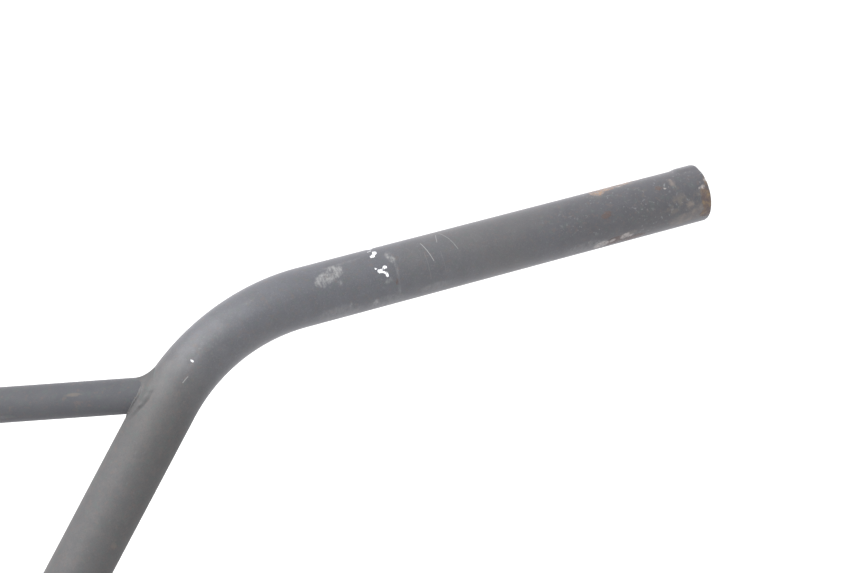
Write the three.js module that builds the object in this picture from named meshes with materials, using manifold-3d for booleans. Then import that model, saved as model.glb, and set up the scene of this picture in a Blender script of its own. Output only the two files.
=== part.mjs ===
// A braced motorcycle handlebar: one steel tube bent four times, a thinner crossbar between its two
// legs, and the bead of weld at each end of the crossbar.
//
// Millimetres. +X points to the rider's left, +Y back to the rider and +Z up. The origin is the
// middle of the clamp section's underside, where the bar sits in its lower clamps. The bar is built
// about the clamp section's axis, in its legs' own plane (X across, Z up the legs, Y square to
// them), and the finished group is then leant back and lifted.

import * as THREE from "three";
import { ParametricGeometry } from "three/addons/geometries/ParametricGeometry.js";
import { mergeVertices } from "three/addons/utils/BufferGeometryUtils.js";
import Module from "manifold-3d";

const wasm = await Module();
wasm.setup();

const degrees = THREE.MathUtils.degToRad;

// Driving dimensions.
const MAIN_RADIUS = 22.2 / 2;
const MAIN_WALL = 2.0;
const MAIN_SIDES = 32;
const BRACE_RADIUS = 13.0 / 2;
const BRACE_WALL = 1.5;
const BRACE_SIDES = 24;

const CLAMP_HALF_LENGTH = 73;
const BEND_RADIUS = 76; // to the tube's axis, in all four bends
const LOWER_BEND_STEPS = 8;
const UPPER_BEND_STEPS = 7;
const BEND_FLATTENING = 0.035; // share lost from the section in a bend's plane, halfway round it
const BEND_WIDENING = 0.015; // share gained square to that plane
const LEG_ANGLE = degrees(58); // between a leg and the clamp section
const LEG_LENGTH = 100; // the straight between a leg's two bends
const GRIP_LENGTH = 169; // the straight that carries the grip

const LEAN = degrees(28); // the legs' plane, back from upright
const GRIP_SWEEP = degrees(21); // the grip, back from square across the motorcycle
const GRIP_RISE = degrees(0.5); // the grip, up from level

const BRACE_ABOVE_LEG = 5.7; // the crossbar's axis, past the top end of the leg's straight
const GAP = 0.3; // clearance between neighbouring solids
const SAME_POINT = 1e-3; // vertices nearer than this are one
const SEARCH_HALVINGS = 40;

// The weld's reach from the corner, as a + b s + c s², where s is 1 above the crossbar and -1 below.
const WELD_REACH_ON_BRACE = { a: 3.0, b: 1.3, c: -1.1 };
const WELD_REACH_ON_LEG = { a: 3.4, b: 1.4, c: -1.1 };
const WELD_CROWN = 0.12; // how far the face stands proud, as a share of its width
const WELD_FACE_END = 0.5; // shares of the section's outline: the face, then the leg's side,
const WELD_LEG_END = 0.8; // then the crossbar's side
const WELD_STEPS_ACROSS = 10;
const WELD_STEPS_AROUND = 32;

const X = new THREE.Vector3(1, 0, 0);
const Y = new THREE.Vector3(0, 1, 0);
const ORIGIN = new THREE.Vector3();

const legDirection = new THREE.Vector3(Math.cos(LEG_ANGLE), 0, Math.sin(LEG_ANGLE));
const gripDirection = new THREE.Vector3(
  Math.cos(GRIP_RISE) * Math.cos(GRIP_SWEEP),
  Math.cos(GRIP_RISE) * Math.sin(GRIP_SWEEP),
  Math.sin(GRIP_RISE),
).applyAxisAngle(X, LEAN);

const SATIN_GREY = { color: 0x4b5056, roughness: 0.55, metalness: 0.15 };

// The centre line: stations with a frame each, walked from the middle of the bar outwards.

function movedOn(station, distance) {
  return { ...station, point: station.point.clone().addScaledVector(station.tangent, distance) };
}

function turnedAbout(station, centre, axis, angle) {
  const turn = (vector) => vector.clone().applyAxisAngle(axis, angle);
  return {
    point: turn(station.point.clone().sub(centre)).add(centre),
    tangent: turn(station.tangent),
    normal: turn(station.normal),
    binormal: turn(station.binormal),
  };
}

// A bend of BEND_RADIUS that turns the station's tangent to a new direction.
function bendTo(station, direction) {
  const axis = station.tangent.clone().cross(direction).normalize();
  const inwards = axis.clone().cross(station.tangent);
  const centre = station.point.clone().addScaledVector(inwards, BEND_RADIUS);
  return { start: station, centre, axis, angle: station.tangent.angleTo(direction) };
}

// How much a bend squeezes the section in its plane and spreads it square to that, by its share of
// the way round.
function sectionScale(share) {
  const amount = Math.sin(Math.PI * share);
  return { inPlane: 1 - BEND_FLATTENING * amount, offPlane: 1 + BEND_WIDENING * amount };
}

function flattened(station, bend, share) {
  const { inPlane, offPlane } = sectionScale(share);
  const outwards = station.point.clone().sub(bend.centre).normalize();
  const squeeze = (vector) =>
    vector
      .clone()
      .addScaledVector(outwards, (inPlane - 1) * vector.dot(outwards))
      .addScaledVector(bend.axis, (offPlane - 1) * vector.dot(bend.axis));
  return { ...station, normal: squeeze(station.normal), binormal: squeeze(station.binormal) };
}

function bendStations(bend, steps) {
  const stations = [];
  for (let i = 1; i <= steps; i += 1) {
    const share = i / steps;
    const station = turnedAbout(bend.start, bend.centre, bend.axis, bend.angle * share);
    stations.push(flattened(station, bend, share));
  }
  return stations;
}

function mirrored(station) {
  const flip = (vector) => new THREE.Vector3(-vector.x, vector.y, vector.z);
  return {
    point: flip(station.point),
    tangent: flip(station.tangent).negate(),
    normal: flip(station.normal),
    binormal: flip(station.binormal),
  };
}

const middle = { point: ORIGIN, tangent: X, normal: Y, binormal: X.clone().cross(Y) };
const lowerBend = bendTo(movedOn(middle, CLAMP_HALF_LENGTH), legDirection);
const lowerStations = bendStations(lowerBend, LOWER_BEND_STEPS);
const legTop = movedOn(lowerStations.at(-1), LEG_LENGTH);
const upperBend = bendTo(legTop, gripDirection);
const upperStations = bendStations(upperBend, UPPER_BEND_STEPS);
const gripEnd = movedOn(upperStations.at(-1), GRIP_LENGTH);

const leftHalf = [lowerBend.start, ...lowerStations, legTop, ...upperStations, gripEnd];
const rightHalf = leftHalf.map(mirrored).reverse();
const barStations = [...rightHalf, ...leftHalf];

// A path that stops only at its stations, so straights take one step and bends take several.
class StationPath extends THREE.Curve {
  constructor(stations) {
    super();
    this.stations = stations;
  }

  stationAt(share) {
    return this.stations[Math.round(share * (this.stations.length - 1))];
  }

  getPointAt(share) {
    return this.stationAt(share).point.clone();
  }

  getTangentAt(share) {
    return this.stationAt(share).tangent.clone();
  }

  computeFrenetFrames() {
    return {
      tangents: this.stations.map((station) => station.tangent),
      normals: this.stations.map((station) => station.normal),
      binormals: this.stations.map((station) => station.binormal),
    };
  }
}

// A regular polygon with its corners on the circle and a facet square to the direction `facing`.
function ringPoints(radius, sides, facing) {
  const points = [];
  for (let i = 0; i < sides; i += 1) {
    const angle = facing + ((i + 0.5) * 2 * Math.PI) / sides;
    points.push(new THREE.Vector2(radius * Math.cos(angle), radius * Math.sin(angle)));
  }
  return points;
}

function discShape(radius, sides, facing = 0) {
  return new THREE.Shape(ringPoints(radius, sides, facing));
}

function tubeShape(radius, wall, sides, facing = 0) {
  const shape = discShape(radius, sides, facing);
  shape.holes.push(new THREE.Path(ringPoints(radius - wall, sides, facing)));
  return shape;
}

function sweep(shape, stations) {
  const extrudePath = new StationPath(stations);
  return new THREE.ExtrudeGeometry(shape, { steps: stations.length - 1, extrudePath });
}

// Booleans.

function toSolid(geometry) {
  const bare = geometry.clone();
  bare.deleteAttribute("normal");
  bare.deleteAttribute("uv");
  const merged = mergeVertices(bare, SAME_POINT);
  const mesh = new wasm.Mesh({
    numProp: 3,
    vertProperties: merged.attributes.position.array,
    triVerts: new Uint32Array(merged.index.array),
  });
  return new wasm.Manifold(mesh);
}

function toGeometry(solid) {
  const mesh = solid.getMesh();
  const geometry = new THREE.BufferGeometry();
  geometry.setAttribute("position", new THREE.BufferAttribute(mesh.vertProperties, 3));
  geometry.setIndex(new THREE.BufferAttribute(mesh.triVerts, 1));
  geometry.computeVertexNormals();
  return geometry;
}

// Sub-parts. The crossbar and its welds are built about the crossbar's own axis.

const braceMeetsLeg = movedOn(legTop, BRACE_ABOVE_LEG).point;
const braceHeight = new THREE.Vector3(0, 0, braceMeetsLeg.z);

// The section is turned by the lean, so that in the finished bar a facet of the clamp section
// faces straight down.
function mainTube() {
  const section = tubeShape(MAIN_RADIUS, MAIN_WALL, MAIN_SIDES, LEAN);
  return sweep(section, barStations);
}

// Straight between the two legs' axes, then coped: each end is cut to the leg's round outside.
function crossbarTube() {
  const halfLength = braceMeetsLeg.x;
  const section = tubeShape(BRACE_RADIUS, BRACE_WALL, BRACE_SIDES);
  const blank = sweep(section, [movedOn(middle, -halfLength), movedOn(middle, halfLength)]);
  const bar = sweep(discShape(MAIN_RADIUS + GAP, MAIN_SIDES, LEAN), barStations);
  bar.translate(0, 0, -braceHeight.z);
  return toGeometry(toSolid(blank).subtract(toSolid(bar)));
}

// A point's distance from the left leg's axis, or from the upper bend's in its flattened measure.
function distanceToBarAxis(point) {
  const pastLeg = point.clone().sub(legTop.point).dot(legDirection);
  if (pastLeg < 0) {
    const foot = legTop.point.clone().addScaledVector(legDirection, pastLeg);
    return point.distanceTo(foot);
  }
  const fromCentre = point.clone().sub(upperBend.centre);
  const offPlane = fromCentre.dot(upperBend.axis);
  const spoke = fromCentre.addScaledVector(upperBend.axis, -offPlane);
  const startSpoke = legTop.point.clone().sub(upperBend.centre);
  const scale = sectionScale(spoke.angleTo(startSpoke) / upperBend.angle);
  return Math.hypot((spoke.length() - BEND_RADIUS) / scale.inPlane, offPlane / scale.offPlane);
}

// The x at which a line along the crossbar, off its axis by y and z, comes within GAP of the leg.
function legSurfaceX(y, z) {
  let outside = braceMeetsLeg.x - 4 * MAIN_RADIUS;
  let inside = braceMeetsLeg.x;
  for (let halving = 0; halving < SEARCH_HALVINGS; halving += 1) {
    const half = (outside + inside) / 2;
    const distance = distanceToBarAxis(new THREE.Vector3(half, y, z + braceHeight.z));
    if (distance > MAIN_RADIUS + GAP) {
      outside = half;
    } else {
      inside = half;
    }
  }
  return outside;
}

const reachAt = ({ a, b, c }, s) => a + b * s + c * s * s;
const blend = THREE.MathUtils.lerp;

// One point of the left weld's closed skin. `across` runs round the weld's section: over its crowned
// face from the crossbar to the leg, in along the leg to the corner, and back along the crossbar.
function weldPoint(across, around, target) {
  const angle = -2 * Math.PI * (around % 1);
  const share = across % 1;
  const up = Math.sin(angle);
  const seat = BRACE_RADIUS + GAP;
  const toe = seat + reachAt(WELD_REACH_ON_LEG, up);
  const place = (x, radius) => target.set(x, radius * Math.cos(angle), radius * up);
  const legX = (radius) => legSurfaceX(radius * Math.cos(angle), radius * up);
  const startX = legX(seat) - reachAt(WELD_REACH_ON_BRACE, up);
  if (share < WELD_FACE_END) {
    const along = share / WELD_FACE_END;
    const toeX = legX(toe);
    const crown = WELD_CROWN * Math.sin(Math.PI * along);
    const x = blend(startX, toeX, along) - crown * (toe - seat);
    return place(x, blend(seat, toe, along) + crown * (toeX - startX));
  }
  if (share < WELD_LEG_END) {
    const radius = blend(toe, seat, (share - WELD_FACE_END) / (WELD_LEG_END - WELD_FACE_END));
    return place(legX(radius), radius);
  }
  return place(blend(legX(seat), startX, (share - WELD_LEG_END) / (1 - WELD_LEG_END)), seat);
}

function weldBead() {
  return new ParametricGeometry(weldPoint, WELD_STEPS_ACROSS, WELD_STEPS_AROUND);
}

// Assembly.

function namedMesh(name, geometry) {
  const mesh = new THREE.Mesh(geometry, new THREE.MeshStandardMaterial(SATIN_GREY));
  mesh.name = name;
  return mesh;
}

function brace() {
  const bead = weldBead();
  const rightWeld = namedMesh("crossbar_weld_right", bead);
  rightWeld.scale.x = -1;
  const group = new THREE.Group();
  group.position.copy(braceHeight);
  group.add(namedMesh("crossbar_tube", crossbarTube()));
  group.add(namedMesh("crossbar_weld_left", bead));
  group.add(rightWeld);
  return group;
}

const legsPlane = new THREE.Group();
legsPlane.rotation.x = -LEAN;
legsPlane.position.z = MAIN_RADIUS * Math.cos(Math.PI / MAIN_SIDES); // from a facet to the axis
legsPlane.add(namedMesh("main_tube", mainTube()));
legsPlane.add(brace());

const handlebar = new THREE.Group();
handlebar.name = "handlebar";
handlebar.add(legsPlane);

export default handlebar;
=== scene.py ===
"""Looks of a braced motorcycle handlebar: a worn, satin grey painted tube with a welded crossbar.

Lengths are in millimetres until a mesh is made, and angles are in radians unless a name says
degrees. A place on a tube is `along`, the distance along its axis from the middle of the bar, and
`around`, the angle round it: 0 faces the front of the motorcycle and 90 degrees faces up the legs.
"""

import math
import random
from collections import namedtuple

import bpy
import numpy as np
from mathutils import Matrix, Vector, noise


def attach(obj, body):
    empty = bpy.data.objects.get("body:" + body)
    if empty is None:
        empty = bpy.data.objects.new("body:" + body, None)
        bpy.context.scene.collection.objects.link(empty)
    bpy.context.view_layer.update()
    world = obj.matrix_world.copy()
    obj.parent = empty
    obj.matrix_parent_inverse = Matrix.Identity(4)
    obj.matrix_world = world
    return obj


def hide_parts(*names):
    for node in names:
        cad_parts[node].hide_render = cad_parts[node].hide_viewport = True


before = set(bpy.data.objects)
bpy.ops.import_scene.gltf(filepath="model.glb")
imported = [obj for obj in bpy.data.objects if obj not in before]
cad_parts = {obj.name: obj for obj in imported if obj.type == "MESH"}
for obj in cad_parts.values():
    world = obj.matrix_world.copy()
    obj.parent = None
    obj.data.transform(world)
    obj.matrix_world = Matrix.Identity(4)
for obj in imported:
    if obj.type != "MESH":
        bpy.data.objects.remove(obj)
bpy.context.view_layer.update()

MM = 0.001

# The bar's own sizes, as in its CAD model.
MAIN_RADIUS = 11.1
MAIN_WALL = 2.0
BRACE_RADIUS = 6.5
BRACE_WALL = 1.5
PAINT_FILM = 0.12
CLAMP_HALF_LENGTH = 73.0
BEND_RADIUS = 76.0
BEND_FLATTENING = 0.035
BEND_WIDENING = 0.015
LEG_ANGLE = math.radians(58)
LEG_LENGTH = 100.0
GRIP_LENGTH = 169.0
LEAN = math.radians(28)
GRIP_SWEEP = math.radians(21)
GRIP_RISE = math.radians(0.5)
BRACE_ABOVE_LEG = 5.7
CAD_SIDES = 32
AXIS_HEIGHT = MAIN_RADIUS * math.cos(math.pi / CAD_SIDES)
MAIN_SKIN = MAIN_RADIUS + PAINT_FILM
BRACE_SKIN = BRACE_RADIUS + PAINT_FILM

# Fineness of the meshes.
MAIN_SIDES = 160
BRACE_SIDES = 96

# The legs' plane has X across, Z up the legs, and Y square to them, to the back.
ACROSS = np.array([1.0, 0.0, 0.0])
FRONT = np.array([0.0, -1.0, 0.0])
UP = np.array([0.0, 0.0, 1.0])


# ---------------------------------------------------------------- the centre line

Station = namedtuple("Station", "point tangent front up")


def turned(vectors, axis, angles):
    """Rows of vectors turned about an axis, by one angle a row."""
    cos = np.cos(angles)[:, None]
    sin = np.sin(angles)[:, None]
    along_axis = (vectors @ axis)[:, None] * axis
    return vectors * cos + np.cross(axis, vectors) * sin + along_axis * (1 - cos)


class Straight:
    def __init__(self, start, length):
        self.start = start
        self.length = length
        self.outward_angle = 0.0

    def stations(self, distance):
        ones = np.ones((len(distance), 1))
        point = self.start.point + distance[:, None] * self.start.tangent
        return Station(point, *(ones * vector for vector in self.start[1:]))

    def bending(self, distance):
        return np.zeros(len(distance))


class Bend:
    def __init__(self, start, direction):
        self.start = start
        axis = np.cross(start.tangent, direction)
        self.axis = axis / np.linalg.norm(axis)
        self.centre = start.point + BEND_RADIUS * np.cross(self.axis, start.tangent)
        self.length = BEND_RADIUS * math.acos(start.tangent @ direction)
        outward = start.point - self.centre
        self.outward_angle = math.atan2(outward @ start.up, outward @ start.front)

    def stations(self, distance):
        angles = distance / BEND_RADIUS
        ones = np.ones((len(distance), 1))
        spoke = turned(ones * (self.start.point - self.centre), self.axis, angles)
        frames = (turned(ones * vector, self.axis, angles) for vector in self.start[1:])
        return Station(self.centre + spoke, *frames)

    def bending(self, distance):
        return np.sin(np.pi * distance / self.length)


def last_station(part):
    ends = part.stations(np.array([part.length]))
    return Station(*(vector[0] for vector in ends))


def leg_plane(vector):
    """A row-frame direction in the legs' plane frame."""
    x, y, z = vector
    cos, sin = math.cos(LEAN), math.sin(LEAN)
    return np.array([x, y * cos - z * sin, y * sin + z * cos])


def half_bar():
    """The straights and bends from the middle of the bar to its left end."""
    leg_direction = np.array([math.cos(LEG_ANGLE), 0.0, math.sin(LEG_ANGLE)])
    level = math.cos(GRIP_RISE)
    grip_direction = leg_plane(
        (level * math.cos(GRIP_SWEEP), level * math.sin(GRIP_SWEEP), math.sin(GRIP_RISE))
    )
    clamp = Straight(Station(np.zeros(3), ACROSS, FRONT, UP), CLAMP_HALF_LENGTH)
    lower_bend = Bend(last_station(clamp), leg_direction)
    leg = Straight(last_station(lower_bend), LEG_LENGTH)
    upper_bend = Bend(last_station(leg), grip_direction)
    grip = Straight(last_station(upper_bend), GRIP_LENGTH)
    return [clamp, lower_bend, leg, upper_bend, grip]


HALF = half_bar()
CLAMP, LOWER_BEND, LEG, UPPER_BEND, GRIP = HALF
STARTS = np.cumsum([0.0] + [part.length for part in HALF])
LEG_FROM, LEG_TO, GRIP_FROM, BAR_END = STARTS[2], STARTS[3], STARTS[4], STARTS[5]


def section_points(along, around, radius):
    """Points of the bar's skin, in the legs' plane frame: a row of `around` for each `along`."""
    side = np.where(along < 0, -1.0, 1.0)
    points = np.zeros((len(along), len(around), 3))
    for part, start in zip(HALF, STARTS):
        here = (abs(along) >= start - 1e-9) & (abs(along) <= start + part.length + 1e-9)
        distance = np.clip(abs(along[here]) - start, 0, part.length)
        station = part.stations(distance)
        bending = part.bending(distance)[:, None]
        angle = around[None, :] - part.outward_angle
        in_plane = np.cos(angle) * (1 - BEND_FLATTENING * bending)
        off_plane = np.sin(angle) * (1 + BEND_WIDENING * bending)
        cos, sin = math.cos(part.outward_angle), math.sin(part.outward_angle)
        to_front = (in_plane * cos - off_plane * sin)[:, :, None]
        to_up = (in_plane * sin + off_plane * cos)[:, :, None]
        spoke = to_front * station.front[:, None, :] + to_up * station.up[:, None, :]
        points[here] = station.point[:, None, :] + radius[here][:, :, None] * spoke
    points[:, :, 0] *= side[:, None]
    return points


def to_row_frame(points):
    """From the legs' plane, in millimetres, to the row frame, in metres."""
    cos, sin = math.cos(LEAN), math.sin(LEAN)
    x, y, z = points[..., 0], points[..., 1], points[..., 2]
    return np.stack([x, y * cos + z * sin, z * cos - y * sin + AXIS_HEIGHT], axis=-1) * MM


# ---------------------------------------------------------------- wear, as places on a tube

# A worn spot is an ellipse: where its middle is, its half length along the tube and half width
# round it, in millimetres, and how far it is turned, in degrees.
Spot = namedtuple("Spot", "along around_degrees length width turn", defaults=(0.0,))

# A scratch is a straight line between two places.
Scratch = namedtuple(
    "Scratch", "along around_degrees along_end around_end_degrees width strength"
)

LEFT_WEAR = {
    # Chips down to bare steel, sunk into the skin; their near white colour is a painted glint off the
    # bare metal.
    "chip_glint": [
        Spot(344.5, 39, 1.1, 0.7, 12),
        Spot(345.9, 47, 0.75, 1.2, -8),
        Spot(344.6, 58, 0.7, 0.35, 15),
        Spot(346.0, 78, 1.2, 1.8),
        Spot(344.9, 3, 1.1, 0.8, -25),
        Spot(343.7, 9, 0.75, 0.3, -35),
        Spot(347.0, 8, 0.9, 0.75),
        Spot(346.3, -1, 0.95, 0.5, -40),
        Spot(347.2, -8, 0.55, 1.0, -14),
        Spot(269.1, 6, 0.45, 1.0, 20),
    ],
    "pale": [
        Spot(322.8, 14, 3.0, 2.4, 40),
        Spot(328.0, 25, 3.6, 2.6, 30),
        Spot(328.8, 1, 0.7, 0.8),
        Spot(315.0, 3, 0.5, 0.5),
        Spot(332.0, -45, 0.6, 1.9, -12),
        Spot(341.6, -60, 0.7, 1.3, -20),
        Spot(349.9, 31, 0.9, 1.5, -20),
        Spot(350.8, 20, 1.0, 1.1),
        Spot(348.0, -19, 0.5, 0.5),
        Spot(346.8, -20, 0.8, 0.8),
        Spot(276.6, 22, 0.45, 0.45),
        Spot(274.5, 11, 0.4, 0.4),
        Spot(292.5, 13, 0.6, 0.5),
        Spot(222.1, 49, 0.4, 0.4),
    ],
    "faint": [
        Spot(327.0, -62, 9.0, 3.4),
        Spot(346.0, -66, 7.0, 3.0),
        Spot(351.4, -2, 0.5, 6.0),
        Spot(351.0, -45, 0.6, 4.0),
        Spot(331.0, 40, 8.0, 0.5, 4),
        Spot(366.0, -60, 6.0, 2.0),
        Spot(430.0, -62, 9.0, 2.4),
        Spot(296.0, 27, 1.4, 0.4),
    ],
    "orange": [
        Spot(440.6, 60, 3.2, 3.2, 12),
        Spot(446.0, 67, 4.0, 2.6, 10),
        Spot(452.0, 72, 4.5, 2.4, 6),
        Spot(459.0, 79, 5.0, 1.8, 4),
    ],
    "brown": [
        Spot(439.3, -4, 2.2, 1.3, 15),
        Spot(464.2, 23, 1.4, 1.2),
        Spot(483.2, -26, 2.4, 5.8, 6),
        Spot(482.8, -56, 2.6, 2.4),
        Spot(484.8, 12, 1.0, 2.4),
        Spot(442.0, -69, 4.5, 2.4, 12),
        Spot(451.0, -75, 5.0, 1.6, 6),
        Spot(350.3, -25, 0.45, 1.0),
    ],
    "stain": [
        Spot(471.3, -12, 3.0, 2.6),
        Spot(467.5, -29, 3.4, 1.8, 15),
        Spot(475.6, -32, 2.6, 2.6),
        Spot(480.4, -24, 3.0, 4.6),
        Spot(440.0, 48, 4.0, 2.0),
        Spot(452.0, 62, 7.0, 1.8),
        Spot(199.0, -44, 3.0, 1.6),
    ],
    "tan": [
        Spot(470.6, 29, 1.1, 2.1, 10),
        Spot(472.8, -58, 6.2, 2.9, 8),
        Spot(479.0, -52, 3.6, 3.4),
        Spot(469.6, -52, 1.2, 1.0),
        Spot(475.8, -27, 1.8, 1.6),
        Spot(446.0, -62, 5.0, 1.6, 16),
    ],
    "bare": [
        Spot(436.6, -71, 3.2, 2.1, 12),
        Spot(441.4, -66, 1.2, 1.0, 30),
        Spot(446.6, -61, 2.1, 1.3, 28),
        Spot(449.2, -65, 1.4, 0.8, 28),
        Spot(450.5, 62, 1.2, 0.5, 8),
        Spot(482.5, 2, 0.9, 0.9),
        Spot(480.9, 1, 0.8, 0.35, 10),
        Spot(484.5, 16, 0.8, 0.9),
        Spot(466.8, 19, 0.75, 0.5),
    ],
}

LEFT_SCRATCHES = [
    Scratch(363.9, 41, 366.4, -6, 0.26, 0.75),
    Scratch(370.1, 31, 371.4, 55, 0.24, 0.6),
    Scratch(373.0, 60, 375.4, 30, 0.20, 0.55),
    Scratch(375.4, 30, 376.9, 5, 0.20, 0.55),
    Scratch(363.6, 18, 363.9, -40, 0.20, 0.16),
    Scratch(369.9, 13, 370.2, -34, 0.18, 0.14),
    Scratch(261.3, -7, 264.4, -8, 0.30, 0.6),
]

CLAMP_RING_ALONG = 350.9


def right_end_wear():
    """The unseen right end has the same kinds of damage, in seeded places of its own."""
    draw = random.Random(7)

    def spots(count, along, around, length, width):
        return [
            Spot(
                -draw.uniform(*along),
                draw.uniform(*around),
                draw.uniform(*length),
                draw.uniform(*width),
                draw.uniform(-30, 30),
            )
            for _ in range(count)
        ]

    return {
        "chip_glint": spots(4, (343, 349), (-30, 80), (0.6, 1.4), (0.6, 1.4)),
        "pale": spots(7, (318, 372), (-80, 80), (0.6, 5.0), (0.6, 3.0)),
        "faint": spots(6, (318, 440), (-80, 80), (0.6, 9.0), (0.6, 3.0)),
        "orange": spots(3, (436, 472), (-90, 90), (1.0, 5.0), (0.8, 1.8)),
        "brown": spots(3, (440, 470), (-90, 90), (1.0, 2.0), (0.8, 1.6))
        + [Spot(-483.4, 40, 2.4, 7.0, 8)],
        "stain": spots(4, (462, 478), (-90, 90), (2.5, 6.0), (1.6, 3.4)),
        "tan": spots(2, (444, 480), (-90, 90), (2.5, 6.0), (1.4, 2.6)),
        "bare": spots(3, (434, 482), (-80, 80), (0.8, 2.6), (0.5, 1.2)),
    }


RIGHT_WEAR = right_end_wear()
BAR_WEAR = {kind: LEFT_WEAR[kind] + RIGHT_WEAR[kind] for kind in LEFT_WEAR}

CROSSBAR_WEAR = {
    "pale": [Spot(150.0, -19, 0.5, 0.5), Spot(160.0, 12, 0.5, 0.4), Spot(-121.0, 30, 0.6, 0.5)],
    "stain": [Spot(158.0, 20, 3.0, 0.7), Spot(-140.0, -10, 3.0, 0.8)],
    "faint": [Spot(120.0, -40, 14.0, 1.2), Spot(-60.0, 20, 18.0, 1.5)],
}


def wear_field(spots, along, around_degrees, radius):
    """How far places are outside the nearest spot's edge, in millimetres; negative inside one."""
    nearest = np.full(np.broadcast(along, around_degrees).shape, 9.0)
    for spot in spots:
        x = along - spot.along
        y = np.radians((around_degrees - spot.around_degrees + 180) % 360 - 180) * radius
        turn = math.radians(spot.turn)
        lengthwise = (x * math.cos(turn) + y * math.sin(turn)) / spot.length
        crosswise = (y * math.cos(turn) - x * math.sin(turn)) / spot.width
        size = math.sqrt(spot.length * spot.width)
        nearest = np.minimum(nearest, (np.hypot(lengthwise, crosswise) - 1) * size)
    return nearest


def inside(field):
    """1 inside a spot, 0 outside, from a wear field."""
    return 1 - smoothstep(-0.3, 0.15, field)


# ---------------------------------------------------------------- meshes


def smoothstep(low, high, value):
    share = np.clip((value - low) / (high - low), 0, 1)
    return share * share * (3 - 2 * share)


def noise_at(points, per_mm, seed):
    """Smooth noise from -1 to 1 at points in the legs' plane."""
    offset = Vector((seed * 17.3, seed * 5.1, seed * 9.7))
    flat = points.reshape(-1, 3) * per_mm
    values = [noise.noise(Vector(point) + offset) for point in flat]
    return np.array(values).reshape(points.shape[:-1])


def spaced(zones):
    """Places along a tube from zones of (start, end, step), each start once."""
    places = []
    for start, end, step in zones:
        count = max(1, round((end - start) / step))
        places.extend(np.linspace(start, end, count, endpoint=False))
    places.append(zones[-1][1])
    return np.array(places)


def mirrored_places(half):
    return np.concatenate([-half[:0:-1], half])


def closed_grid(name, points, places):
    """A mesh of rings of points, closed round each ring and from the last ring to the first.

    Its UV map `place` holds each corner's (along, around in degrees).
    """
    rings, columns = points.shape[:2]
    index = np.arange(rings * columns).reshape(rings, columns)
    after = np.roll(index, -1, axis=0)
    beside = np.roll(index, -1, axis=1)
    quads = np.stack([index, after, np.roll(beside, -1, axis=0), beside], axis=-1)
    mesh = bpy.data.meshes.new(name)
    mesh.from_pydata(to_row_frame(points).reshape(-1, 3), [], quads.reshape(-1, 4).tolist())
    along, around = places
    along = np.broadcast_to(along, (rings, columns))
    around = np.broadcast_to(around, (rings, columns))
    step = 360.0 / columns
    along_corners = np.stack([along, np.roll(along, -1, axis=0)] * 2, axis=-1)[..., [0, 1, 3, 2]]
    around_corners = np.stack([around, around, around + step, around + step], axis=-1)
    uv = np.stack([along_corners, around_corners], axis=-1)
    layer = mesh.uv_layers.new(name="place")
    layer.data.foreach_set("uv", uv.astype(np.float32).ravel())
    mesh.shade_smooth()
    mesh.update()
    return mesh


def store_wear(mesh, fields):
    """Keeps each kind's wear field on the mesh's vertices, for its material to read."""
    for kind, field in fields.items():
        attribute = mesh.attributes.new("wear_" + kind, "FLOAT", "POINT")
        attribute.data.foreach_set("value", field.astype(np.float32).ravel())


def add_piece(name, mesh, materials, replaces):
    piece = bpy.data.objects.new(name, mesh)
    bpy.context.scene.collection.objects.link(piece)
    for material in materials:
        mesh.materials.append(material)
    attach(piece, "root")
    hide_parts(replaces)
    return piece


RIM_ROUND = 0.6
BORE_ROUND = 0.5
PAINTED_RIM_RINGS = 2
LIP_FROM = 475.0
LIP_TO = 478.2
LIP_HEIGHT = 0.45
LIP_AROUND_DEGREES = 82
KNURL_FROM = 36.0
KNURL_TO = 66.0
KNURL_TEETH = 40
KNURL_PITCH = 3.0
KNURL_DEPTH = 0.2

SKIN_ZONES = [
    (0, KNURL_FROM, 4),
    (KNURL_FROM, KNURL_TO, KNURL_PITCH / 4),
    (KNURL_TO, CLAMP_HALF_LENGTH, 2.4),
    (CLAMP_HALF_LENGTH, LEG_FROM, 2.8),
    (LEG_FROM, LEG_TO, 6),
    (LEG_TO, GRIP_FROM, 2.8),
    (GRIP_FROM, 338, 2.2),
    (338, 356, 0.6),
    (356, 430, 2.5),
    (430, BAR_END - RIM_ROUND, 1.0),
]
BORE_ZONES = [
    (0, CLAMP_HALF_LENGTH, 15),
    (CLAMP_HALF_LENGTH, LEG_FROM, 6),
    (LEG_FROM, LEG_TO, 20),
    (LEG_TO, GRIP_FROM, 6),
    (GRIP_FROM, BAR_END - 30, 20),
    (BAR_END - 30, BAR_END - BORE_ROUND, 2.5),
]


def rim_profile():
    """The end of the wall in section, from skin to bore: (along, radius) pairs."""
    bore_radius = MAIN_RADIUS - MAIN_WALL
    outer = [
        (BAR_END - RIM_ROUND * (1 - math.sin(a)), MAIN_SKIN - RIM_ROUND * (1 - math.cos(a)))
        for a in np.radians([30, 60, 90])
    ]
    inner = [
        (BAR_END - BORE_ROUND * (1 - math.cos(a)), bore_radius + BORE_ROUND * (1 - math.sin(a)))
        for a in np.radians([0, 30, 60])
    ]
    return outer + inner


def knurl(along, around_degrees):
    """A diamond knurl's height, 1 on its crests, in the two bands that the clamps hold."""
    turns = around_degrees / 360 * KNURL_TEETH
    lengths = (abs(along) - KNURL_FROM) / KNURL_PITCH

    def ridge(cycles):
        return 1 - abs(2 * (cycles % 1) - 1)

    return np.minimum(ridge(turns + lengths), ridge(turns - lengths))


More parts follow.
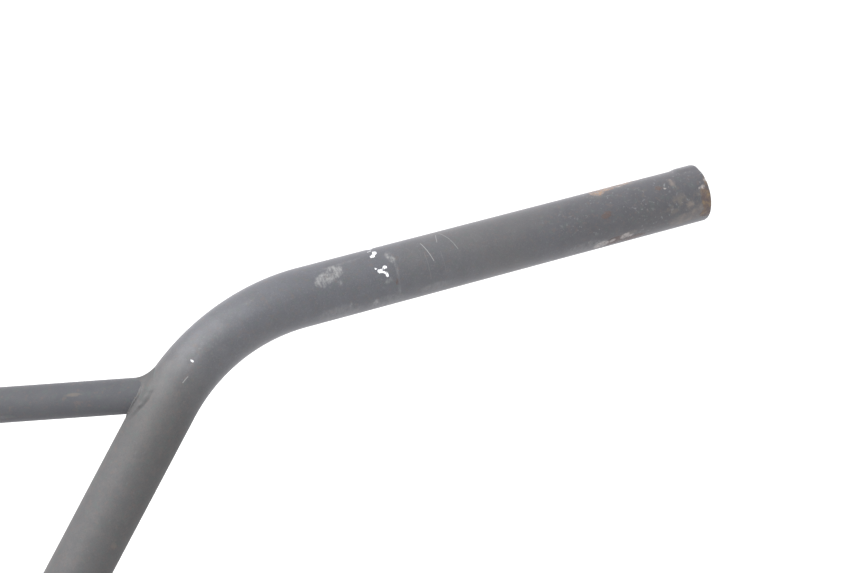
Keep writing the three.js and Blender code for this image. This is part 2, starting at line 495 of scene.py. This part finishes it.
def bar_relief(along, around_degrees, points, fields):
    """How far the bar's skin stands out from a plain tube, in millimetres."""
    relief = 0.03 * noise_at(points, 0.05, 1)
    in_band = smoothstep(KNURL_FROM - 0.8, KNURL_FROM + 0.8, abs(along))
    in_band = in_band * (1 - smoothstep(KNURL_TO - 0.8, KNURL_TO + 0.8, abs(along)))
    relief -= in_band * KNURL_DEPTH * (1 - knurl(along, around_degrees))
    relief -= 0.13 * inside(fields["chip_glint"])
    relief -= 0.10 * inside(fields["bare"])
    rusty = np.maximum(inside(fields["brown"]), inside(fields["orange"]))
    relief += 0.12 * rusty * noise_at(points, 0.9, 2)
    ring = np.exp(-(((abs(along) - CLAMP_RING_ALONG) / 0.5) ** 2))
    relief -= 0.05 * ring
    lip = smoothstep(LIP_FROM, LIP_TO, along)
    lip = lip * (1 - smoothstep(20, 38, abs(around_degrees - LIP_AROUND_DEGREES)))
    relief += LIP_HEIGHT * lip
    near_end = smoothstep(BAR_END - 2.5, BAR_END, abs(along))
    relief += 0.12 * near_end * noise_at(points, 0.45, 3)
    return relief


def main_tube_mesh():
    skin = mirrored_places(spaced(SKIN_ZONES))
    bore = mirrored_places(spaced(BORE_ZONES))[::-1]
    rim = np.array(rim_profile())
    bore_radius = MAIN_RADIUS - MAIN_WALL
    along = np.concatenate([skin, rim[:, 0], bore, -rim[::-1, 0]])
    radius = np.concatenate(
        [np.full(len(skin), MAIN_SKIN), rim[:, 1], np.full(len(bore), bore_radius), rim[::-1, 1]]
    )
    around_degrees = np.linspace(-180, 180, MAIN_SIDES, endpoint=False)
    around = np.radians(around_degrees)
    radii = np.broadcast_to(radius[:, None], (len(along), MAIN_SIDES)).copy()
    plain = section_points(along, around, radii)
    places = (along[:, None], around_degrees[None, :])
    fields = {kind: wear_field(BAR_WEAR[kind], *places, MAIN_RADIUS) for kind in BAR_WEAR}
    relief = bar_relief(*places, plain, fields)
    skinlike = smoothstep(bore_radius, MAIN_SKIN - RIM_ROUND, radius)[:, None]
    points = section_points(along, around, radii + relief * skinlike)
    mesh = closed_grid("painted_main_tube", points, places)
    store_wear(mesh, fields)
    first_bare = len(skin) + PAINTED_RIM_RINGS
    last_bare = len(along) - PAINTED_RIM_RINGS - 1
    bare = np.zeros((len(along), MAIN_SIDES), dtype=np.int32)
    bare[first_bare:last_bare] = 1
    mesh.polygons.foreach_set("material_index", bare.ravel())
    return mesh


# The crossbar meets a leg at a saddle: the leg's skin, found along lines beside the crossbar's axis.

LEG_TOP = last_station(LEG)
BRACE_MEETS_LEG = LEG_TOP.point + BRACE_ABOVE_LEG * LEG_TOP.tangent
BRACE_HEIGHT = BRACE_MEETS_LEG[2]
HALVINGS = 30


def distance_to_bar_axis(points):
    """From the left leg's axis, or the upper bend's in its flattened measure."""
    past_leg = (points - LEG_TOP.point) @ LEG_TOP.tangent
    from_leg = points - LEG_TOP.point - past_leg[..., None] * LEG_TOP.tangent
    to_leg = np.linalg.norm(from_leg, axis=-1)
    from_centre = points - UPPER_BEND.centre
    off_plane = from_centre @ UPPER_BEND.axis
    spoke = from_centre - off_plane[..., None] * UPPER_BEND.axis
    spoke_length = np.linalg.norm(spoke, axis=-1)
    start_spoke = (UPPER_BEND.start.point - UPPER_BEND.centre) / BEND_RADIUS
    angle = np.arccos(np.clip(spoke @ start_spoke / spoke_length, -1, 1))
    bending = np.sin(np.pi * angle * BEND_RADIUS / UPPER_BEND.length)
    in_plane = (spoke_length - BEND_RADIUS) / (1 - BEND_FLATTENING * bending)
    to_bend = np.hypot(in_plane, off_plane / (1 + BEND_WIDENING * bending))
    return np.where(past_leg < 0, to_leg, to_bend)


def leg_skin_x(y, z, depth=0.0):
    """The x at which lines along the crossbar, off its axis by y and z, come to the leg's skin."""
    y, z = np.broadcast_arrays(y, z)
    clear_x = np.full(y.shape, BRACE_MEETS_LEG[0] - 4 * MAIN_RADIUS)
    buried_x = np.full(y.shape, BRACE_MEETS_LEG[0])
    for _ in range(HALVINGS):
        half = (clear_x + buried_x) / 2
        distance = distance_to_bar_axis(np.stack([half, y, z + BRACE_HEIGHT], axis=-1))
        clear = distance > MAIN_SKIN - depth
        clear_x = np.where(clear, half, clear_x)
        buried_x = np.where(clear, buried_x, half)
    return clear_x


def beside_crossbar(x, around, radius):
    """Points in the legs' plane from places beside the crossbar's axis."""
    y = -radius * np.cos(around)
    z = radius * np.sin(around) + BRACE_HEIGHT
    return np.stack(np.broadcast_arrays(x, y, z), axis=-1)


def crossbar_mesh():
    around_degrees = np.linspace(-180, 180, BRACE_SIDES, endpoint=False)
    around = np.radians(around_degrees)
    bore_radius = BRACE_RADIUS - BRACE_WALL
    share = mirrored_places(spaced([(0, 0.7, 0.04), (0.7, 0.96, 0.02), (0.96, 1, 0.005)]))

    def lengthwise(radius, shares):
        end = leg_skin_x(-radius * np.cos(around), radius * np.sin(around))
        return shares[:, None] * end[None, :]

    x = np.concatenate([lengthwise(BRACE_SKIN, share), lengthwise(bore_radius, share[::-1])])
    radius = np.concatenate([np.full(len(share), BRACE_SKIN), np.full(len(share), bore_radius)])
    plain = beside_crossbar(x, around[None, :], radius[:, None])
    skinlike = (radius > bore_radius)[:, None]
    relief = 0.03 * noise_at(plain, 0.05, 4) * skinlike
    points = beside_crossbar(x, around[None, :], radius[:, None] + relief)
    places = (x, around_degrees[None, :])
    mesh = closed_grid("painted_crossbar", points, places)
    fields = {kind: wear_field(CROSSBAR_WEAR[kind], *places, BRACE_RADIUS) for kind in CROSSBAR_WEAR}
    store_wear(mesh, fields)
    return mesh


WELD_REACH_ON_BRACE = 2.1
WELD_REACH_ON_LEG = 4.1
WELD_REACH_UNDERNEATH = 1.7
WELD_REACH_ON_TOP = 2.3
WELD_FACE_HALF_WIDTH = 0.94 * MAIN_RADIUS
WELD_DEPTH = 0.25
WELD_FILM = 0.05
WELD_BEAD = 1.05
WELD_SIDES = 220
WELD_ACROSS = 36


def weld_reaches(around, wander):
    """How far the weld spreads along the crossbar, and its toe's distance from the crossbar's axis."""
    up = np.sin(around)
    unsteady = wander * smoothstep(-1.0, -0.5, up)
    on_brace = 0.4 + (WELD_REACH_ON_BRACE - 0.4) * smoothstep(-1.05, -0.2, up)
    on_brace += WELD_REACH_ON_TOP * smoothstep(0.75, 1.0, up) + 0.3 * unsteady
    low = np.exp(-(((up + 0.8) / 0.22) ** 2)) * smoothstep(-1.0, -0.85, up)
    on_leg = 0.5 + (WELD_REACH_ON_LEG - 0.5) * smoothstep(-1.0, -0.78, up)
    on_leg += WELD_REACH_UNDERNEATH * low
    on_leg -= 0.25 * unsteady
    # Further out than this, the leg's skin turns away from the crossbar and the toe would miss it.
    furthest = WELD_FACE_HALF_WIDTH / np.maximum(np.abs(np.cos(around)), 0.2)
    return on_brace, np.minimum(BRACE_SKIN + on_leg, furthest)


def weld_height(t, around, wander):
    """How far the weld's face stands out, t of the way from its toe on the crossbar to the leg's."""
    up = np.sin(around)
    run = (1 - smoothstep(-0.1, 0.95, up)) * smoothstep(-1.0, -0.7, up)

    def hump(at, width):
        return np.exp(-(((t - at) / width) ** 2))

    ripple = np.sin(around * 22 + 4 * t + 1.5 * wander)
    bead = WELD_BEAD * hump(0.54 + 0.04 * wander, 0.20) - 0.2 * hump(0.20, 0.10)
    toe_ridge = 0.24 * hump(0.07, 0.05) * (0.2 + 0.8 * run) * smoothstep(-1.0, -0.6, up)
    return run * bead * (1 + 0.08 * ripple) + toe_ridge


def weld_mesh(name, side):
    """The weld round one end of the crossbar: smooth and hollow above, and a raised bead below."""
    around_degrees = np.linspace(-180, 180, WELD_SIDES, endpoint=False)
    around = np.radians(around_degrees)
    up = np.sin(around)
    wander = np.array([noise.noise(Vector((3 * math.cos(a), 3 * math.sin(a), 0))) for a in around])
    on_brace, toe_radius = weld_reaches(around, wander)

    def skin_x(radius, depth=0.0):
        return leg_skin_x(-radius * np.cos(around), radius * up, depth)

    corner = np.stack([skin_x(BRACE_SKIN), np.full(WELD_SIDES, BRACE_SKIN)], axis=-1)
    on_skin = np.full(WELD_SIDES, BRACE_SKIN - WELD_FILM)
    start = np.stack([corner[:, 0] - on_brace, on_skin], axis=-1)
    end = np.stack([skin_x(toe_radius, WELD_FILM), toe_radius], axis=-1)
    chord = end - start
    outward = np.stack([-chord[:, 1], chord[:, 0]], axis=-1)
    outward /= np.linalg.norm(outward, axis=1)[:, None]
    hollow = 0.30 + 0.42 * smoothstep(0.25, 0.95, up)
    hollow += 0.5 * (1 - smoothstep(-1.0, -0.75, up))
    middle = (start + end) / 2
    control = middle + hollow[:, None] * (corner - middle)
    share = np.linspace(0, 1, WELD_ACROSS)[:, None, None]
    face = start * (1 - share) ** 2 + 2 * share * (1 - share) * control + end * share**2
    height = weld_height(share[:, :, 0], around, wander)
    face = face + height[:, :, None] * outward[None]
    buried_end = np.stack([skin_x(toe_radius, WELD_DEPTH), toe_radius], axis=-1)
    inner = np.full(WELD_SIDES, BRACE_SKIN - WELD_DEPTH)
    buried_corner = np.stack([skin_x(inner, WELD_DEPTH), inner], axis=-1)
    buried_start = start - np.array([0.0, WELD_DEPTH])
    section = np.concatenate([face, buried_end[None], buried_corner[None], buried_start[None]])
    points = beside_crossbar(section[..., 0], around[None, :], section[..., 1])
    if side < 0:
        points = points[::-1] * np.array([-1.0, 1.0, 1.0])
    across = np.arange(len(section))[:, None] * 0.25
    return closed_grid(name, points, (across, around_degrees[None, :]))


# ---------------------------------------------------------------- materials


class Shader:
    """A material's nodes, and short ways to add and join them."""

    def __init__(self, name):
        self.material = bpy.data.materials.new(name)
        self.material.use_nodes = True
        self.tree = self.material.node_tree
        self.tree.nodes.clear()

    def node(self, kind, inputs=None, **settings):
        node = self.tree.nodes.new(kind)
        for key, value in settings.items():
            setattr(node, key, value)
        for key, value in (inputs or {}).items():
            if isinstance(value, bpy.types.NodeSocket):
                self.tree.links.new(value, node.inputs[key])
            else:
                node.inputs[key].default_value = value
        return node

    def math(self, operation, *values, clamp=False):
        inputs = dict(enumerate(values))
        return self.node("ShaderNodeMath", inputs, operation=operation, use_clamp=clamp).outputs[0]

    def vector(self, operation, *values, output="Vector"):
        inputs = dict(enumerate(values))
        return self.node("ShaderNodeVectorMath", inputs, operation=operation).outputs[output]

    def mix(self, factor, a, b):
        inputs = {0: factor, 6: a, 7: b}
        return self.node("ShaderNodeMix", inputs, data_type="RGBA").outputs[2]

    def blend(self, factor, a, b):
        inputs = {0: factor, 2: a, 3: b}
        return self.node("ShaderNodeMix", inputs, data_type="FLOAT").outputs[0]

    def ramp(self, value, low, high, to_low=0.0, to_high=1.0):
        inputs = {0: value, 1: low, 2: high, 3: to_low, 4: to_high}
        return self.node("ShaderNodeMapRange", inputs, interpolation_type="SMOOTHSTEP").outputs[0]

    def noise(self, vector, per_mm, detail=3.0, roughness=0.55, output=0):
        inputs = {"Vector": vector, "Scale": per_mm, "Detail": detail, "Roughness": roughness}
        return self.node("ShaderNodeTexNoise", inputs).outputs[output]

    def millimetres(self):
        """The place in space, in millimetres."""
        at = self.node("ShaderNodeTexCoord").outputs["Object"]
        return self.vector("MULTIPLY", at, (1000, 1000, 1000))

    def finish(self, shader):
        output = self.node("ShaderNodeOutputMaterial")
        self.tree.links.new(shader, output.inputs["Surface"])
        return self.material


def rgb(red, green, blue):
    return (red, green, blue, 1.0)


class WornPaint(Shader):
    """Satin paint on a tube, with wear at given places."""

    def __init__(self, name, radius):
        super().__init__(name)
        self.space = self.millimetres()
        uv = self.node("ShaderNodeUVMap", uv_map="place").outputs[0]
        mm_per_degree = math.radians(1) * radius
        self.place = self.vector("MULTIPLY", uv, (1, mm_per_degree, 0))
        self.mm_per_degree = mm_per_degree
        self.along = self.node("ShaderNodeSeparateXYZ", {0: self.place}).outputs[0]
        self.colour = None
        self.roughness = 0.5
        self.metal = 0.0
        self.height = 0.0

    def warped(self, amount, per_mm):
        """The place on the tube, pushed about a little so that edges come out ragged."""
        push = self.noise(self.space, per_mm, 4, 0.65, output=1)
        push = self.vector("SUBTRACT", push, (0.5, 0.5, 0.5))
        push = self.vector("MULTIPLY", push, (amount, amount, 0))
        return self.vector("ADD", self.place, push)

    def spots(self, kind, ragged, soft=0.12, per_mm=1.1):
        """1 inside a kind's worn spots, with edges as ragged, in millimetres, as asked."""
        field = self.node("ShaderNodeAttribute", attribute_name="wear_" + kind).outputs["Fac"]
        jag = self.noise(self.space, per_mm, 4, 0.65)
        jag = self.math("MULTIPLY_ADD", jag, 4 * ragged, -2 * ragged)
        return self.ramp(self.math("ADD", field, jag), -soft, soft, 1, 0)

    def cover(self, mask, colour, roughness, metal=0.0, height=0.0):
        """Lays a colour and finish over what is there, where the mask is 1."""
        self.colour = self.mix(mask, self.colour, colour)
        self.roughness = self.blend(mask, self.roughness, roughness)
        self.metal = self.blend(mask, self.metal, metal)
        self.height = self.math("ADD", self.height, self.math("MULTIPLY", mask, height))

    def scratches(self, lines, place):
        """1 on any of the scratches."""
        strongest = 0.0
        for line in lines:
            start = Vector((line.along, line.around_degrees * self.mm_per_degree))
            end = Vector((line.along_end, line.around_end_degrees * self.mm_per_degree))
            middle = (start + end) / 2
            length = (end - start).length
            mapped = self.node(
                "ShaderNodeMapping",
                {
                    "Vector": place,
                    "Location": (middle.x, middle.y, 0),
                    "Rotation": (0, 0, math.atan2(end.y - start.y, end.x - start.x)),
                    "Scale": (length / 2, line.width / 2, 1),
                },
                vector_type="TEXTURE",
            ).outputs[0]
            parts = self.node("ShaderNodeSeparateXYZ", {0: mapped}).outputs
            beyond = self.ramp(self.math("ABSOLUTE", parts[0]), 0.9, 1.0, 1, 0)
            beside = self.ramp(self.math("ABSOLUTE", parts[1]), 0.6, 1.5, 1, 0)
            mask = self.math("MULTIPLY", self.math("MULTIPLY", beyond, beside), line.strength)
            strongest = self.math("MAXIMUM", strongest, mask)
        return strongest

    def surface(self, sheen, specular):
        bump = self.node(
            "ShaderNodeBump", {"Height": self.height, "Distance": 0.001, "Strength": 1.0}
        ).outputs[0]
        return self.finish(
            self.node(
                "ShaderNodeBsdfPrincipled",
                {
                    "Base Color": self.colour,
                    "Roughness": self.roughness,
                    "Metallic": self.metal,
                    "IOR": 1.45,
                    "Specular IOR Level": specular,
                    "Normal": bump,
                    "Sheen Weight": sheen,
                    "Sheen Roughness": 0.45,
                    "Sheen Tint": rgb(0.97, 0.955, 1.0),
                },
            ).outputs[0]
        )


BLUISH = rgb(0.1090, 0.1130, 0.128)
NEUTRAL = rgb(0.1165, 0.1155, 0.119)
DEEP = rgb(0.087, 0.089, 0.098)
GREENISH = rgb(0.094, 0.112, 0.108)
BROWNISH = rgb(0.138, 0.112, 0.104)
DUST = rgb(0.205, 0.205, 0.218)
LEG_GREY = rgb(0.1035, 0.1015, 0.0995)
DARK = rgb(0.078, 0.077, 0.085)
WARM = rgb(0.150, 0.132, 0.125)
# Near white for the paint chips: a painted glint off their bare metal, not the metal's own colour.
CHIP_WITH_PAINTED_GLINT = rgb(0.93, 0.94, 0.97)
PALE_MARK = rgb(0.34, 0.34, 0.335)
ORANGE_RUST = rgb(0.33, 0.185, 0.09)
BROWN_RUST = rgb(0.155, 0.118, 0.104)
OCHRE_RUST = rgb(0.20, 0.145, 0.092)
DEEP_RUST = rgb(0.108, 0.082, 0.076)
OCHRE_STAIN = rgb(0.172, 0.153, 0.133)
TAN_STAIN = rgb(0.215, 0.185, 0.165)
PINK_RUST = rgb(0.25, 0.205, 0.18)
BARE_STEEL = rgb(0.33, 0.305, 0.295)


def base_paint(paint, mottling=1.0):
    """The paint itself: a little uneven in colour and gloss, with fine dust in it."""
    broad = paint.ramp(paint.noise(paint.space, 0.018, 2), 0.4, 0.6)
    cloudy = paint.noise(paint.space, 0.16, 5, 0.6)
    fine = paint.noise(paint.space, 1.6, 3, 0.6)
    paint.colour = paint.mix(broad, BLUISH, NEUTRAL)
    deep = paint.math("MULTIPLY", paint.ramp(cloudy, 0.35, 0.7), mottling)
    paint.colour = paint.mix(deep, paint.colour, DEEP)
    paint.colour = paint.mix(paint.ramp(fine, 0.5, 0.8, 0, 0.42), paint.colour, DUST)
    paint.roughness = paint.ramp(cloudy, 0.3, 0.7, 0.46, 0.56)
    paint.height = paint.math("MULTIPLY", fine, 0.02)


def grime(paint):
    """Thin dirt over the paint: greener and browner patches, and a darker grain."""
    greener = paint.noise(paint.space, 0.45, 4, 0.65)
    paint.cover(paint.ramp(greener, 0.50, 0.66, 0, 0.5), GREENISH, 0.52)
    browner = paint.noise(paint.vector("ADD", paint.space, (40, 0, 70)), 0.6, 4, 0.65)
    paint.cover(paint.ramp(browner, 0.52, 0.68, 0, 0.5), BROWNISH, 0.55)
    grain = paint.noise(paint.space, 2.1, 2, 0.6)
    paint.cover(paint.ramp(grain, 0.46, 0.72, 0, 0.4), DARK, 0.5)


def bar_paint():
    paint = WornPaint("bar_paint", MAIN_RADIUS)
    out = paint.math("ABSOLUTE", paint.along)
    off_leg = paint.ramp(out, 238, 284)
    uneven = paint.math("MAXIMUM", paint.ramp(out, 250, 330, 0.9, 0.45), paint.ramp(out, 375, 440))
    base_paint(paint, uneven)
    paint.cover(paint.ramp(out, 370, 450, 0, 0.6), DARK, 0.5)
    blotchy = paint.ramp(paint.noise(paint.space, 0.35, 4, 0.6), 0.42, 0.66)

    on_leg = paint.math("SUBTRACT", 1.0, off_leg)
    paint.cover(paint.math("MULTIPLY", on_leg, 0.7), LEG_GREY, 0.52)
    warm = paint.math("MULTIPLY", on_leg, blotchy)
    paint.cover(paint.math("MULTIPLY", warm, 0.25), WARM, 0.55)
    grime(paint)

    speckled = paint.noise(paint.space, 0.9, 2, 0.5)
    speck = paint.ramp(speckled, 0.60, 0.72)
    patchy = paint.ramp(paint.noise(paint.space, 0.13, 2), 0.4, 0.6, 0.3, 1)
    speck = paint.math("MULTIPLY", speck, paint.math("MULTIPLY", patchy, 0.75))
    paint.cover(paint.math("MULTIPLY", speck, paint.ramp(out, 400, 440, 0.15, 1)), DUST, 0.6)

    stain = paint.math("MULTIPLY", paint.spots("stain", 0.9, 0.9), blotchy)
    paint.cover(paint.math("MULTIPLY", stain, 0.55), OCHRE_STAIN, 0.75)

    patches = paint.ramp(blotchy, 0, 1, 0.45, 1)
    tan = paint.math("MULTIPLY", paint.spots("tan", 0.9, 0.9), patches)
    paint.cover(paint.math("MULTIPLY", tan, 0.7), TAN_STAIN, 0.7)

    strokes = paint.noise(paint.vector("MULTIPLY", paint.place, (0.75, 0.4, 1)), 0.8, 6, 0.72)
    brushed = paint.ramp(strokes, 0.34, 0.64)
    faint = paint.math("MULTIPLY", paint.spots("faint", 0.9, 1.2), brushed)
    paint.cover(paint.math("MULTIPLY", faint, 0.22), PALE_MARK, 0.62)
    pale = paint.math("MULTIPLY", paint.spots("pale", 0.8, 0.75, 0.8), brushed)
    paint.cover(paint.math("MULTIPLY", pale, 0.72), PALE_MARK, 0.62)

    grain = paint.noise(paint.space, 1.1, 4, 0.7)
    broken = paint.ramp(grain, 0.36, 0.52)
    brown = paint.math("MULTIPLY", paint.spots("brown", 0.85, 0.4), paint.ramp(grain, 0.28, 0.46))
    rust = paint.mix(paint.ramp(grain, 0.5, 0.7), DEEP_RUST, BROWN_RUST)
    paint.cover(brown, rust, 0.85, height=0.05)
    at_rim = paint.math("MULTIPLY", paint.ramp(out, 478, 480.5), blotchy)
    paint.cover(paint.math("MULTIPLY", brown, at_rim), OCHRE_RUST, 0.85)
    orange = paint.math("MULTIPLY", paint.spots("orange", 0.6, 0.35), broken)
    rust = paint.mix(paint.ramp(grain, 0.46, 0.62), PINK_RUST, ORANGE_RUST)
    streaky = paint.noise(paint.vector("MULTIPLY", paint.place, (0.35, 1.2, 1)), 1.0, 5, 0.7)
    rust = paint.mix(paint.ramp(streaky, 0.48, 0.62, 0, 0.8), rust, BROWN_RUST)
    paint.cover(orange, rust, 0.85, height=0.05)
    bare = paint.math("MULTIPLY", paint.spots("bare", 0.5, 0.2), broken)
    paint.cover(bare, BARE_STEEL, 0.5)
    # The chips are real and sunk into the skin, but their near white is a painted glint off bare
    # metal.
    paint.cover(paint.spots("chip_glint", 0.42, 0.06, 1.4), CHIP_WITH_PAINTED_GLINT, 0.45, height=-0.05)

    line = paint.scratches(LEFT_SCRATCHES, paint.warped(0.25, 0.5))
    paint.cover(line, PALE_MARK, 0.5, height=-0.02)
    sheen = paint.math("MULTIPLY", off_leg, 0.55)
    return paint.surface(sheen, paint.math("MULTIPLY_ADD", off_leg, 0.25, 0.3))


def crossbar_paint():
    paint = WornPaint("crossbar_paint", BRACE_RADIUS)
    base_paint(paint)
    # Painted shade: the whole crossbar is made darker than the bar's paint, for the weaker light that
    # falls on it.
    paint.cover(0.7, DEEP, 0.6)
    grime(paint)
    paint.cover(paint.math("MULTIPLY", paint.spots("stain", 0.3, 0.5), 0.5), OCHRE_STAIN, 0.7)
    paint.cover(paint.math("MULTIPLY", paint.spots("faint", 0.6, 1.2), 0.15), PALE_MARK, 0.6)
    paint.cover(paint.spots("pale", 0.1), PALE_MARK, 0.6)
    return paint.surface(0.4, 0.1)


def weld_paint():
    paint = WornPaint("weld_paint", BRACE_RADIUS)
    base_paint(paint)
    paint.cover(0.6, LEG_GREY, 0.52)
    grime(paint)
    return paint.surface(0.0, 0.3)


def rusty_steel():
    """The bare end face and bore."""
    steel = Shader("rusty_steel")
    space = steel.millimetres()
    grain = steel.noise(space, 0.5, 5, 0.65)
    colour = steel.mix(steel.ramp(grain, 0.35, 0.6), rgb(0.09, 0.07, 0.06), BROWN_RUST)
    colour = steel.mix(steel.ramp(grain, 0.58, 0.75), colour, ORANGE_RUST)
    bump = steel.node("ShaderNodeBump", {"Height": grain, "Distance": 0.0002}).outputs[0]
    return steel.finish(
        steel.node(
            "ShaderNodeBsdfPrincipled",
            {"Base Color": colour, "Roughness": 0.85, "Metallic": 0.1, "Normal": bump},
        ).outputs[0]
    )


def floor_white():
    """Pale to the camera, and darker to the light that would bounce from it to the bar."""
    white = Shader("floor_white")
    seen = white.node("ShaderNodeLightPath").outputs["Is Camera Ray"]
    colour = white.mix(seen, rgb(0.64, 0.64, 0.64), rgb(0.93, 0.93, 0.925))
    away = white.vector("LENGTH", white.millimetres(), output="Value")
    glow = white.math("MULTIPLY", seen, white.ramp(away, 700, 3000, 0, 0.5))
    inputs = {
        "Base Color": colour,
        "Roughness": 0.9,
        "Emission Color": rgb(1, 1, 1),
        "Emission Strength": glow,
    }
    return white.finish(white.node("ShaderNodeBsdfPrincipled", inputs).outputs[0])


# ---------------------------------------------------------------- the object

steel = rusty_steel()
add_piece(
    "painted_main_tube", main_tube_mesh(), [bar_paint(), steel], "main_tube"
)
add_piece(
    "painted_crossbar", crossbar_mesh(), [crossbar_paint()], "crossbar_tube"
)
bead_paint = weld_paint()
for side, word in ((1, "left"), (-1, "right")):
    name = "weld_bead_" + word
    mesh = weld_mesh(name, side)
    add_piece(name, mesh, [bead_paint], "crossbar_weld_" + word)


# ---------------------------------------------------------------- floor, light and camera

FLOOR_SIZE = 40.0
FLOOR_DROP = 0.002
SURROUND_LIGHT = rgb(0.985, 0.98, 1.0)
SURROUND_STRENGTH = 0.65


def add_floor():
    mesh = bpy.data.meshes.new("floor")
    half = FLOOR_SIZE / 2
    corners = [(-half, -half, 0), (half, -half, 0), (half, half, 0), (-half, half, 0)]
    mesh.from_pydata(corners, [], [(0, 1, 2, 3)])
    mesh.materials.append(floor_white())
    floor = bpy.data.objects.new("floor", mesh)
    floor.location.z = -FLOOR_DROP
    bpy.context.scene.collection.objects.link(floor)


def add_area_light(name, place, aim, long_side, size, power):
    """A soft light, turned so that its longer side lies as nearly as it can along `long_side`."""
    light = bpy.data.lights.new(name, "AREA")
    light.shape = "RECTANGLE"
    light.size, light.size_y = size
    light.energy = power
    back = (Vector(place) - Vector(aim)).normalized()
    side = Vector(long_side).cross(back).normalized()
    turn = Matrix((side, back.cross(side), back)).transposed().to_4x4()
    lamp = bpy.data.objects.new(name, light)
    lamp.matrix_world = Matrix.Translation(place) @ turn
    lamp.visible_camera = False
    bpy.context.scene.collection.objects.link(lamp)


def add_world(strength):
    """An even surround, a little off white in the light it gives, and pure white to the camera."""
    world = bpy.data.worlds.new("studio")
    world.use_nodes = True
    tree = world.node_tree
    background = tree.nodes["Background"]
    seen = tree.nodes.new("ShaderNodeLightPath").outputs["Is Camera Ray"]
    tint = tree.nodes.new("ShaderNodeMix")
    tint.data_type = "RGBA"
    tint.inputs[6].default_value = SURROUND_LIGHT
    tint.inputs[7].default_value = rgb(1, 1, 1)
    tree.links.new(seen, tint.inputs[0])
    tree.links.new(tint.outputs[2], background.inputs["Color"])
    level = tree.nodes.new("ShaderNodeMapRange")
    level.inputs["To Min"].default_value = strength
    tree.links.new(seen, level.inputs["Value"])
    tree.links.new(level.outputs[0], background.inputs["Strength"])
    bpy.context.scene.world = world


CAMERA_PLACE = (0.29142, -0.50063, 0.46817)
CAMERA_TURN_DEGREES = (61.046, 0.106, -4.047)
CAMERA_LENS = 75.0


def add_camera():
    camera = bpy.data.objects.new("camera", bpy.data.cameras.new("camera"))
    camera.data.lens = CAMERA_LENS
    camera.data.clip_start = 0.01
    camera.data.clip_end = 100
    camera.location = CAMERA_PLACE
    camera.rotation_mode = "ZYX"
    camera.rotation_euler = [math.radians(angle) for angle in CAMERA_TURN_DEGREES]
    bpy.context.scene.collection.objects.link(camera)
    bpy.context.scene.camera = camera


KEY_AIM = Vector((0.22, 0.06, 0.12))
KEY_DISTANCE = 1.8
KEY_ROUND = math.radians(132)
KEY_TILT = math.radians(52)
KEY_SIZE = (1.0, 2.6)
KEY_WATTS = 60


def key_place():
    """The key light stands up and to the left of the camera's view of the legs' plane."""
    across = math.sin(KEY_TILT) * math.cos(KEY_ROUND)
    up = math.sin(KEY_TILT) * math.sin(KEY_ROUND)
    front = math.cos(KEY_TILT)
    cos, sin = math.cos(LEAN), math.sin(LEAN)
    direction = Vector((across, up * sin - front * cos, up * cos + front * sin))
    return KEY_AIM + KEY_DISTANCE * direction


add_floor()
add_world(SURROUND_STRENGTH)
up_the_legs = (0, -math.cos(LEAN), math.sin(LEAN))
add_area_light("key", key_place(), KEY_AIM, up_the_legs, KEY_SIZE, KEY_WATTS)
add_camera()
bpy.context.scene.view_settings.view_transform = "Standard"
